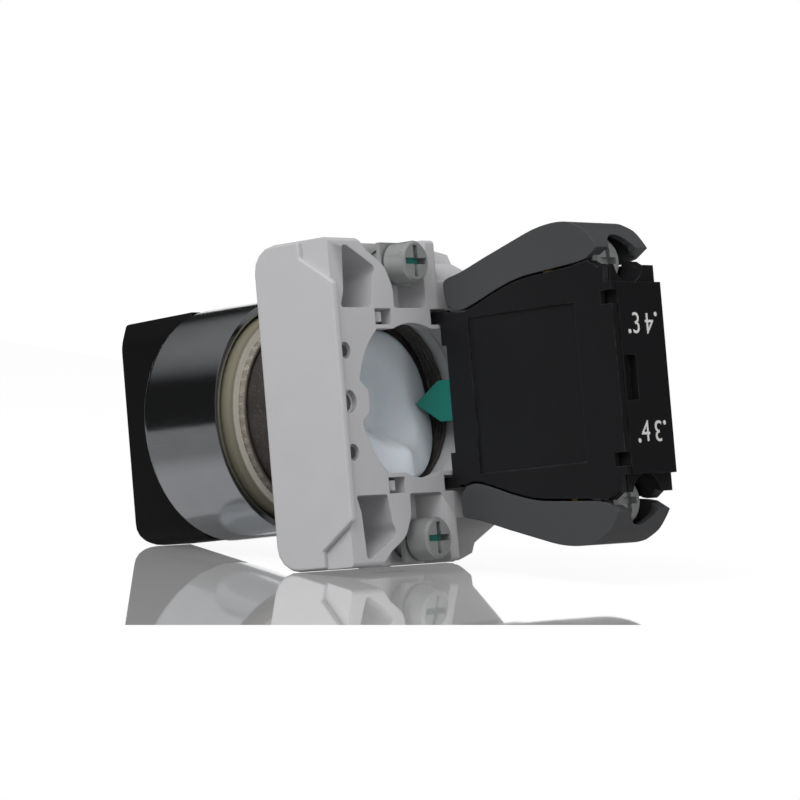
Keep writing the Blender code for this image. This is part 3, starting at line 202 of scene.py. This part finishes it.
def moulded(name, colour, roughness, grain, depth, wear=0.15, gloss=0.5):
    """Moulded plastic: fine grain, faint mottling, rubbed edges and a few dull patches."""
    edge = 0.2 * MM
    mottle_size = 4 * MM
    patch_size = 1.3 * MM
    rubbed_colour = rgb(200, 200, 200)
    made, tree, place = start_material(name)
    fine = noise(tree, place, grain)
    mottle = noise(tree, place, mottle_size, 4.0)
    patch = noise(tree, place, patch_size, 5.0, 0.65)
    worn = edge_wear(tree, edge) * patch.over(0.35, 0.7)
    base = mottle.tint(shade(colour, 0.96), shade(colour, 1.04))
    rubbed = (worn * wear).tint(base, rubbed_colour)
    rough = roughness + (patch - 0.5) * 0.16 + worn * 0.1
    normal = relief(tree, fine, depth, edge)
    return close_material(made, tree, rubbed, rough, normal, Specular_IOR_Level=gloss)


def plated(name, colour, roughness, streak, speck=0.1 * MM, metal=1.0):
    """Bare or plated metal with faint streaks and pits."""
    depth = 0.002 * MM
    edge = 0.08 * MM
    streak_width = 0.25 * MM
    cloud_size = 3 * MM
    made, tree, place = start_material(name)
    streaks = noise(tree, stretched(tree, place, streak), streak_width)
    pits = noise(tree, place, speck, 2.0)
    cloud = noise(tree, place, cloud_size, 4.0)
    base = cloud.tint(shade(colour, 0.88), shade(colour, 1.06))
    rough = roughness + (streaks - 0.5) * 0.14 + pits.over(0.66, 0.8) * 0.2
    height = streaks * 0.5 + pits
    return close_material(made, tree, base, rough, relief(tree, height, depth, edge), metal)


def cast_metal():
    """Dark grainy casting with bright flecks."""
    grain_size = 0.22 * MM
    cloud_size = 2.2 * MM
    fleck_size = 0.12 * MM
    depth = 0.05 * MM
    edge = 0.15 * MM
    metal = 0.5
    made, tree, place = start_material("cast metal")
    grain = noise(tree, place, grain_size, 4.0, 0.7)
    cloud = noise(tree, place, cloud_size)
    fleck = noise(tree, place, fleck_size, 1.0).over(0.68, 0.74)
    base = cloud.tint(rgb(66, 62, 60), rgb(100, 95, 92))
    flecked = (fleck * 0.7).tint(base, rgb(205, 203, 200))
    rough = 0.5 + (grain - 0.5) * 0.4
    return close_material(made, tree, flecked, rough, relief(tree, grain, depth, edge), metal)


def gasket_rubber():
    """Cream seal with painted light: olive painted shade outside, a bright painted highlight on
    the raised lip, grey-brown painted shade on the inner ring by the tube.
    """
    # Radii where the painted highlight and the painted shade by the tube begin
    highlight_fade = (12.75 * MM, 12.4 * MM)
    sleeve_shade_fade = (11.75 * MM, 11.6 * MM)
    grain = 0.2 * MM
    ragged = 0.15 * MM
    depth = 0.01 * MM
    edge = 0.1 * MM
    made, tree, place = start_material("gasket")
    fine = noise(tree, place, grain)
    radius = ring_radius(tree, place) + (fine - 0.5) * ragged
    crest_highlight = radius.over(*highlight_fade)
    sleeve_shade = radius.over(*sleeve_shade_fade)
    # Painted light by radius: olive painted shade outside, the lip's painted highlight, grey-brown
    # painted shade by the tube
    outer_shade_and_highlight = crest_highlight.tint(rgb(120, 116, 100), rgb(226, 222, 210))
    both = sleeve_shade.tint(outer_shade_and_highlight, rgb(108, 102, 94))
    return close_material(made, tree, both, 0.45 + fine * 0.2, relief(tree, fine, depth, edge))


def cam_plastic():
    """Milky bearing plastic with a soft sheen."""
    grain = 0.9 * MM
    cloud_size = 5 * MM
    depth = 0.004 * MM
    edge = 0.5 * MM
    light_depth = 1.2 * MM
    made, tree, place = start_material("cam plastic")
    fine = noise(tree, place, grain, 2.0)
    cloud = noise(tree, place, cloud_size, 2.0)
    base = cloud.tint(rgb(214, 220, 228), rgb(226, 231, 236))
    rough = 0.24 + (fine - 0.5) * 0.12
    return close_material(
        made,
        tree,
        base,
        rough,
        relief(tree, fine, depth, edge),
        Subsurface_Weight=0.3,
        Subsurface_Scale=light_depth,
    )


FINISHES = {
    "chrome_bezel": plated("bezel chrome", rgb(205, 208, 212), 0.13, (1.0, 0.06, 1.0)),
    "cast_zinc": cast_metal(),
    "zinc_plated_steel": plated(
        "screw zinc", rgb(176, 178, 177), 0.3, (1.0, 0.2, 1.0), 0.2 * MM, 0.45
    ),
    "spring_steel": plated("spring steel", rgb(190, 190, 194), 0.28, (1.0, 1.0, 0.2)),
    "brass_strip": plated("contact brass", rgb(212, 180, 120), 0.3, (0.2, 1.0, 1.0)),
    "silver_tip": plated("contact silver", rgb(228, 226, 222), 0.25, (1.0, 0.3, 1.0)),
    "black_housing": moulded("block black", rgb(27, 27, 29), 0.42, 0.25 * MM, 0.01 * MM, 0.1, 0.3),
    "black_handle": moulded("handle black", rgb(20, 20, 20), 0.5, 0.2 * MM, 0.008 * MM, 0.1, 0.25),
    "grey_shroud": moulded("shroud grey", rgb(70, 71, 73), 0.4, 0.3 * MM, 0.006 * MM),
    "light_grey_collar": moulded("collar grey", rgb(188, 188, 190), 0.5, 0.35 * MM, 0.008 * MM),
    "white_cam": cam_plastic(),
    "cream_gasket": gasket_rubber(),
    "white_marker": moulded("marker white", rgb(236, 236, 234), 0.4, 0.2 * MM, 0.004 * MM),
    "black_rubber": moulded("seal rubber", rgb(30, 30, 30), 0.7, 0.15 * MM, 0.01 * MM),
    "green_plunger": moulded("plunger green", rgb(22, 128, 113), 0.42, 0.2 * MM, 0.01 * MM),
}
INK = moulded("digit ink", rgb(214, 214, 212), 0.5, 0.1 * MM, 0.004 * MM)
THREAD_LOCK = moulded("thread lock", rgb(46, 116, 108), 0.35, 0.3 * MM, 0.04 * MM)

# How meshes are cleaned, where their shading breaks, and how fine round pieces are
MERGE_GAP = 0.001 * MM
SLIVER = 0.0005 * MM
FLAT_ANGLE = math.radians(0.6)
CREASE_ANGLE = math.radians(28)
THREAD_CREASE_ANGLE = math.radians(60)
ROUND_STEPS = 24
RIDGE_STEPS = 4
LAY_ALONG_Y = Matrix.Rotation(-math.pi / 2, 4, "X")


def add_object(name, data):
    """A new object in the scene."""
    made = bpy.data.objects.new(name, data)
    bpy.context.scene.collection.objects.link(made)
    return made


def opened(mesh):
    """A mesh opened for editing."""
    bm = bmesh.new()
    bm.from_mesh(mesh)
    return bm


def closed(name, bm):
    """The edited shape as a mesh."""
    mesh = bpy.data.meshes.new(name)
    bm.to_mesh(mesh)
    bm.free()
    return mesh


def plain_mesh(holder):
    """The finished mesh of an object with live modifiers or text; the object goes."""
    graph = bpy.context.evaluated_depsgraph_get()
    mesh = bpy.data.meshes.new_from_object(holder.evaluated_get(graph))
    bpy.data.objects.remove(holder)
    return mesh


def piece(name, bm, finish, body, crease=CREASE_ANGLE):
    """A finished mesh that rides on a body; weighted normals keep its flat faces flat."""
    draft = closed(f"{name}_draft", bm)
    draft.materials.append(finish)
    draft.shade_smooth()
    draft.set_sharp_from_angle(angle=crease)
    holder = add_object(f"{name}_draft", draft)
    weighted = holder.modifiers.new("flat faces", "WEIGHTED_NORMAL")
    weighted.keep_sharp = True
    made = add_object(name, plain_mesh(holder))
    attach(made, body)
    return made


# The print on the block's rear face: each digit's X, Z and 1 or -1 for the way it stands
DIGIT_HEIGHT = 2.5 * MM
DIGIT_SHARE_OF_SIZE = 0.7
DIGIT_SINK = 0.06 * MM
DIGIT_THICK = 0.05 * MM
REAR_FACE_DEPTH = 0.02 * MM
LABELS = (
    ("3", -9.45 * MM, 6.42 * MM, 1),
    ("4", -11.8 * MM, 6.42 * MM, -1),
    ("4", -9.7 * MM, -6.42 * MM, 1),
    ("3", -11.95 * MM, -6.4 * MM, -1),
)
DOT_RADIUS = 0.28 * MM
LABEL_DOTS = (
    (-8.05 * MM, 5.4 * MM),
    (-13.4 * MM, 7.45 * MM),
    (-8.15 * MM, -7.45 * MM),
    (-13.35 * MM, -5.4 * MM),
)


def reach(node, axis):
    """The least and the greatest coordinate of a node along an axis, 0 to 2 for X to Z."""
    places = [vert.co[axis] for vert in frame["nodes"][node].data.vertices]
    return min(places), max(places)


def sink_rear(bm):
    """Lower the rear face by a hair, so that the printed digits stay within the part."""
    rear = max(vert.co.y for vert in bm.verts)
    for vert in bm.verts:
        if vert.co.y > rear - REAR_FACE_DEPTH:
            vert.co.y = rear - DIGIT_SINK


def digit_mesh(name, character):
    """A flat digit in the XY plane, centred on the middle of its outline's points."""
    curve = bpy.data.curves.new(name, "FONT")
    curve.body = character
    curve.size = DIGIT_HEIGHT / DIGIT_SHARE_OF_SIZE
    curve.extrude = DIGIT_THICK / 2
    curve.align_x = "CENTER"
    curve.align_y = "CENTER"
    bm = opened(plain_mesh(add_object(f"{name}_text", curve)))
    middle = sum((vert.co for vert in bm.verts), Vector()) / len(bm.verts)
    bmesh.ops.translate(bm, vec=(-middle.x, -middle.y, 0), verts=bm.verts)
    return bm


def print_digits():
    """White digits and dots on the block's rear face, each pair turned head to tail."""
    ink_y = reach("block_housing", 1)[1] - DIGIT_SINK
    for number, (character, x, z, way) in enumerate(LABELS):
        bm = digit_mesh(f"digit_{number}", character)
        stand = Matrix(((-way, 0, 0), (0, 0, 1), (0, way, 0))).to_4x4()
        place = Matrix.Translation((x, ink_y + DIGIT_THICK / 2, z))
        bmesh.ops.transform(bm, matrix=place @ stand, verts=bm.verts)
        bmesh.ops.remove_doubles(bm, verts=bm.verts, dist=MERGE_GAP)
        piece(f"digit_{number}", bm, INK, "head")
    for number, centre in enumerate(LABEL_DOTS):
        disc(f"digit_dot_{number}", centre, DOT_RADIUS, ink_y, ink_y + DIGIT_THICK, INK)


def disc(name, centre, radius, start, end, finish):
    """A round plug along Y that rides on the head."""
    bm = bmesh.new()
    bmesh.ops.create_cone(
        bm,
        cap_ends=True,
        segments=ROUND_STEPS,
        radius1=radius,
        radius2=radius,
        depth=end - start,
    )
    place = Matrix.Translation((centre[0], (start + end) / 2, centre[1]))
    bmesh.ops.transform(bm, matrix=place @ LAY_ALONG_Y, verts=bm.verts)
    return piece(name, bm, finish, "head")


def thread_group():
    """Node group for a screw thread: a ridge swept along a helix of a radius and length."""
    tree = bpy.data.node_groups.new("screw thread", "GeometryNodeTree")
    for label in ("Radius", "Turns", "Length", "Ridge"):
        tree.interface.new_socket(label, in_out="INPUT", socket_type="NodeSocketFloat")
    tree.interface.new_socket("Finish", in_out="INPUT", socket_type="NodeSocketMaterial")
    tree.interface.new_socket("Geometry", in_out="OUTPUT", socket_type="NodeSocketGeometry")
    given = {out.name: Signal(out) for out in tree.nodes.new("NodeGroupInput").outputs if out.name}
    inputs = {
        "Resolution": ROUND_STEPS,
        "Rotations": given["Turns"],
        "Start Radius": given["Radius"],
        "End Radius": given["Radius"],
        "Height": given["Length"],
    }
    helix = Signal.node(tree, "GeometryNodeCurveSpiral", None, inputs)
    inputs = {"Resolution": RIDGE_STEPS, "Radius": given["Ridge"]}
    ridge = Signal.node(tree, "GeometryNodeCurvePrimitiveCircle", None, inputs)
    inputs = {"Curve": helix, "Profile Curve": ridge, "Fill Caps": True}
    swept = Signal.node(tree, "GeometryNodeCurveToMesh", None, inputs)
    real = Signal.node(tree, "GeometryNodeRealizeInstances", None, {"Geometry": swept})
    inputs = {"Geometry": real, "Material": given["Finish"]}
    done = Signal.node(tree, "GeometryNodeSetMaterial", None, inputs)
    Signal.node(tree, "NodeGroupOutput", None, {"Geometry": done})
    return tree


class Thread(NamedTuple):
    """A thread's radius to the ridge's middle, its ends along Y, its pitch and its ridge."""

    radius: float
    start: float
    end: float
    pitch: float
    ridge: float


# Threads, and what lies in the recesses: depths are below the screw head or the collar's rear
SCREW_THREAD = Thread(1.66 * MM, 9.6 * MM, 17.0 * MM, 0.7 * MM, 0.16 * MM)
HOLE_THREAD = Thread(1.33 * MM, 13.2 * MM, 19.4 * MM, 0.75 * MM, 0.22 * MM)
TUBE_THREAD = Thread(10.3 * MM, 13.5 * MM, 15.6 * MM, 0.55 * MM, 0.26 * MM)
LOCK_RADIUS = 1.15 * MM
LOCK_DEPTHS = (1.35 * MM, 0.8 * MM)
HOLE_X = 12.7 * MM
# The dimples' painted shade: darker grey discs of this radius, at these depths below the collar's
# rear
DIMPLE_Z = 6.0 * MM
DIMPLE_RADIUS = 0.72 * MM
DIMPLE_DEPTHS = (0.7 * MM, 0.3 * MM)
COLLAR_REAR = 19.7 * MM


def add_thread(group, name, centre, thread, finish):
    """A thread along Y made by the node group, as a plain mesh that rides on the head."""
    holder = add_object(f"{name}_helix", bpy.data.meshes.new(f"{name}_helix"))
    modifier = holder.modifiers.new("thread", "NODES")
    modifier.node_group = group
    length = thread.end - thread.start
    values = {
        "Radius": thread.radius,
        "Turns": length / thread.pitch,
        "Length": length,
        "Ridge": thread.ridge,
        "Finish": finish,
    }
    for item in group.interface.items_tree:
        if item.in_out == "INPUT":
            modifier[item.identifier] = values[item.name]
    bm = opened(plain_mesh(holder))
    place = Matrix.Translation((centre[0], thread.start, centre[1]))
    bmesh.ops.transform(bm, matrix=place @ LAY_ALONG_Y, verts=bm.verts)
    return piece(name, bm, finish, "head", crease=THREAD_CREASE_ANGLE)


def dress_screws(group):
    """A thread on each fixing screw, and locking paint deep in its recess."""
    for _, label in SIDES:
        screw = f"{label}_fixing_screw"
        centre = (sum(reach(screw, 0)) / 2, sum(reach(screw, 2)) / 2)
        bottom, top = (reach(screw, 1)[1] - depth for depth in LOCK_DEPTHS)
        zinc = FINISHES["zinc_plated_steel"]
        add_thread(group, f"{label}_screw_thread", centre, SCREW_THREAD, zinc)
        disc(f"{label}_thread_lock", centre, LOCK_RADIUS, bottom, top, THREAD_LOCK)


def dress_collar(group):
    """Threads in the collar's two holes, and painted shade in the dimples beside them: darker grey
    discs on their floors.
    """
    bottom, top = (COLLAR_REAR - depth for depth in DIMPLE_DEPTHS)
    for hand, label in HANDS:
        centre = (hand * HOLE_X, 0)
        grey = FINISHES["light_grey_collar"]
        add_thread(group, f"{label}_hole_thread", centre, HOLE_THREAD, grey)
        for side, height in SIDES:
            # Painted shade: a darker grey disc on each dimple's floor
            name = f"{label}_{height}_dimple_painted_shade"
            centre = (hand * HOLE_X, side * DIMPLE_Z)
            disc(name, centre, DIMPLE_RADIUS, bottom, top, FINISHES["grey_shroud"])


def dress_threads():
    """The screws, the collar's holes and the rear end of the threaded tube."""
    group = thread_group()
    dress_screws(group)
    dress_collar(group)
    add_thread(group, "tube_rear_thread", (0, 0), TUBE_THREAD, FINISHES["cast_zinc"])


def squash_spring(made, node):
    """Give a coil spring that a joint presses its own mesh; the share it would shorten to by the
    joint's travel is worked out but not used.
    """
    for joint in frame["record"]["behaviour"]["joints"]:
        for soft in joint.get("deforming_nodes", []):
            if soft["node"] == node and soft["mode"] == "scale_y":
                anchor = soft["fixed_end_y_m"]
                length = max(abs(vert.co.y - anchor) for vert in made.data.vertices)
                travel = max(abs(end) for end in joint["range_m"])
                1 - travel / length
                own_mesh(made)


def dress_nodes():
    """Show a merged, smooth-shaded copy of each CAD node, in its slot's finish."""
    for part in frame["record"]["subparts"]:
        node, slot = part["node"], part["material_slot"]
        bm = opened(frame["nodes"][node].data)
        bmesh.ops.remove_doubles(bm, verts=bm.verts, dist=MERGE_GAP)
        bmesh.ops.dissolve_degenerate(bm, edges=bm.edges, dist=SLIVER)
        bmesh.ops.dissolve_limit(bm, angle_limit=FLAT_ANGLE, verts=bm.verts, edges=bm.edges)
        if node == "block_housing":
            sink_rear(bm)
        made = piece(f"{node}_dressed", bm, FINISHES[slot], BODY_OF[node])
        squash_spring(made, node)
        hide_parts(node)


# The photograph's camera, fitted to the bezel and the collar
VIEW_AZIMUTH = math.radians(129.5)
VIEW_ELEVATION = math.radians(-3.2)
VIEW_ROLL = math.radians(4.8)
VIEW_DISTANCE = 450 * MM
VIEW_TARGET = Vector((0, 16.9 * MM, 0.3 * MM))
FOCAL_PIXELS = 3746
FRAME_PIXELS = 800
SENSOR_WIDTH = 36.0
CLIP_NEAR = 10 * MM
CLIP_FAR = 20.0


def camera_axes():
    """Right, up and back of the camera."""
    cos_az, sin_az = math.cos(VIEW_AZIMUTH), math.sin(VIEW_AZIMUTH)
    cos_el, sin_el = math.cos(VIEW_ELEVATION), math.sin(VIEW_ELEVATION)
    back = Vector((sin_az * cos_el, -cos_az * cos_el, sin_el))
    right = Vector((cos_az, sin_az, 0))
    up = back.cross(right)
    cos_roll, sin_roll = math.cos(VIEW_ROLL), math.sin(VIEW_ROLL)
    return cos_roll * right - sin_roll * up, sin_roll * right + cos_roll * up, back


def place_camera():
    """The camera that frames the switch as in the photograph."""
    right, up, back = camera_axes()
    lens = bpy.data.cameras.new("camera")
    lens.sensor_width = SENSOR_WIDTH
    lens.lens = FOCAL_PIXELS * SENSOR_WIDTH / FRAME_PIXELS
    lens.clip_start = CLIP_NEAR
    lens.clip_end = CLIP_FAR
    camera = add_object("camera", lens)
    turn = Matrix((right, up, back)).transposed().to_4x4()
    camera.matrix_world = Matrix.Translation(VIEW_TARGET + back * VIEW_DISTANCE) @ turn
    bpy.context.scene.camera = camera


# The switch lies on the handle's lower corner and the collar's lower edge
REST_FRONT = Vector((0, -21.7 * MM, -14.16 * MM))
REST_REAR = Vector((0, 10.9 * MM, -19.36 * MM))
TABLE_DROP = 0.05 * MM
TABLE_EDGE_ROW = 625
TABLE_EDGE_COLUMNS = (-900, 1700)
TABLE_DEPTH = 1.2
TABLE_MIRROR = 0.83
TABLE_MIRROR_FADE = (0.5, 0.95)
TABLE_ROUGHNESS = 0.03
TABLE_GLOW = 1.2
TABLE_WAVE = 60 * MM
TABLE_WAVE_HEIGHT = 0.1 * MM
TABLE_WAVE_STRENGTH = 0.05


def table_plane():
    """A point on the table, and its upward normal."""
    along = (REST_REAR - REST_FRONT).normalized()
    normal = Vector((1, 0, 0)).cross(along)
    return REST_REAR - normal * TABLE_DROP, normal


def table_point(pixel_x, pixel_y):
    """Where the camera's ray through a pixel meets the table."""
    right, up, back = camera_axes()
    half = FRAME_PIXELS / 2
    eye = VIEW_TARGET + back * VIEW_DISTANCE
    ray = (pixel_x - half) * right + (half - pixel_y) * up - FOCAL_PIXELS * back
    point, normal = table_plane()
    return eye + ray * ((point - eye).dot(normal) / ray.dot(normal))


def table_gloss():
    """Pale polished table that mirrors the switch at a low angle and keeps its shadow."""
    made, tree, place = start_material("table gloss")
    wave = noise(tree, place, TABLE_WAVE, 1.0)
    inputs = {"Strength": TABLE_WAVE_STRENGTH, "Distance": TABLE_WAVE_HEIGHT, "Height": wave}
    bump = Signal.node(tree, "ShaderNodeBump", None, inputs)
    matt = Signal.node(tree, "ShaderNodeBsdfDiffuse", None, {"Color": WHITE})
    glow = Signal.node(tree, "ShaderNodeEmission", None, {"Color": WHITE, "Strength": TABLE_GLOW})
    lit = Signal.node(tree, "ShaderNodeMixShader", None, {0: 0.5, 1: matt, 2: glow})
    inputs = {"Color": WHITE, "Roughness": TABLE_ROUGHNESS, "Normal": bump}
    mirror = Signal.node(tree, "ShaderNodeBsdfGlossy", None, inputs)
    # Seen from above the mirror fades to the pale top, but bounced light always meets the mirror
    grazing = Signal.node(tree, "ShaderNodeLayerWeight", None, {"Blend": 0.5}, output="Facing")
    from_camera = Signal.node(tree, "ShaderNodeLightPath", output="Is Camera Ray")
    from_above = from_camera * (1.0 - grazing.over(*TABLE_MIRROR_FADE))
    inputs = {0: (1.0 - from_above) * TABLE_MIRROR, 1: lit, 2: mirror}
    both = Signal.node(tree, "ShaderNodeMixShader", None, inputs)
    Signal.node(tree, "ShaderNodeOutputMaterial", None, {"Surface": both})
    return made


def place_table():
    """A table top whose near edge crosses the picture below the switch."""
    near = [table_point(column, TABLE_EDGE_ROW) for column in TABLE_EDGE_COLUMNS]
    _, normal = table_plane()
    away = normal.cross(near[0] - near[1]).normalized()
    if away.dot(camera_axes()[2]) > 0:
        away = -away
    far = [corner + away * TABLE_DEPTH for corner in reversed(near)]
    bm = bmesh.new()
    face = bm.faces.new([bm.verts.new(corner) for corner in near + far])
    bm.normal_update()
    if face.normal.dot(normal) < 0:
        face.normal_flip()
    mesh = closed("table", bm)
    mesh.materials.append(table_gloss())
    add_object("table", mesh)


# The dark studio round the table, seen only as reflections on the switch
STUDIO_RADIUS = 1.6
STUDIO_STEPS = 5
STUDIO_DARK = 0.015
STUDIO_CEILING = 0.2
STUDIO_CEILING_FADE = (0.55, 0.8)
STUDIO_PATCH = 500 * MM
STUDIO_PATCH_SHARE = 0.1
STUDIO_OPEN_HEIGHT = 0.3
STUDIO_OPEN_WIDTH = 0.5


def studio_walls():
    """Almost black walls that turn dim grey overhead, with an uneven edge."""
    made, tree, place = start_material("studio walls")
    height = axis_of(tree, place, 2) / STUDIO_RADIUS
    uneven = noise(tree, place, STUDIO_PATCH, 2.0) * STUDIO_PATCH_SHARE
    overhead = (height + uneven).over(*STUDIO_CEILING_FADE)
    level = overhead * (STUDIO_CEILING - STUDIO_DARK) + STUDIO_DARK
    walls = Signal.node(tree, "ShaderNodeEmission", None, {"Color": level.tint(BLACK, WHITE)})
    Signal.node(tree, "ShaderNodeOutputMaterial", None, {"Surface": walls})
    return made


def place_studio():
    """A dim dome, grey overhead, that is open behind the switch to the white backdrop."""
    right, _, back = camera_axes()
    bm = bmesh.new()
    bmesh.ops.create_icosphere(bm, subdivisions=STUDIO_STEPS, radius=STUDIO_RADIUS)
    behind = []
    for face in bm.faces:
        toward = face.calc_center_median().normalized()
        beside = abs(toward.dot(right))
        if toward.dot(back) < 0 and beside < STUDIO_OPEN_WIDTH and toward.z < STUDIO_OPEN_HEIGHT:
            behind.append(face)
    bmesh.ops.delete(bm, geom=behind, context="FACES")
    bmesh.ops.reverse_faces(bm, faces=bm.faces)
    mesh = closed("studio", bm)
    mesh.materials.append(studio_walls())
    studio = add_object("studio", mesh)
    studio.visible_camera = False
    studio.visible_diffuse = False
    studio.visible_shadow = False


# Lamps: name, direction in the camera's right, up and back, width in metres and power in watts
LAMPS = (("key", (-0.5, 0.9, 0.8), 0.5, 3.0), ("fill", (0.9, 0.2, 0.6), 0.4, 1.0))
LAMP_DISTANCE = 0.6
WORLD_FILL = 0.5


def soft_lamp(name, direction, width, watts):
    """A square lamp aimed at the switch, which reflections don't show."""
    lamp = bpy.data.lights.new(name, "AREA")
    lamp.shape = "SQUARE"
    lamp.size = width
    lamp.energy = watts
    parts = [share * axis for share, axis in zip(direction, camera_axes())]
    toward = sum(parts, Vector()).normalized()
    aim = toward.to_track_quat("Z", "Y").to_matrix().to_4x4()
    made = add_object(name, lamp)
    made.matrix_world = Matrix.Translation(VIEW_TARGET + toward * LAMP_DISTANCE) @ aim
    made.visible_glossy = False


def set_light():
    """White world for the camera and for reflections, dimmer for the fill light."""
    world = bpy.data.worlds.new("studio")
    bpy.context.scene.world = world
    world.use_nodes = True
    tree = world.node_tree
    tree.nodes.clear()
    camera_ray = Signal.node(tree, "ShaderNodeLightPath", output="Is Camera Ray")
    glossy_ray = Signal.node(tree, "ShaderNodeLightPath", output="Is Glossy Ray")
    strength = camera_ray.math("MAXIMUM", glossy_ray) * (1.0 - WORLD_FILL) + WORLD_FILL
    inputs = {"Color": WHITE, "Strength": strength}
    sky = Signal.node(tree, "ShaderNodeBackground", None, inputs)
    Signal.node(tree, "ShaderNodeOutputWorld", None, {"Surface": sky})
    for lamp in LAMPS:
        soft_lamp(*lamp)
    bpy.context.scene.view_settings.view_transform = "Standard"


dress_nodes()
dress_threads()
print_digits()
place_table()
place_studio()
set_light()
place_camera()
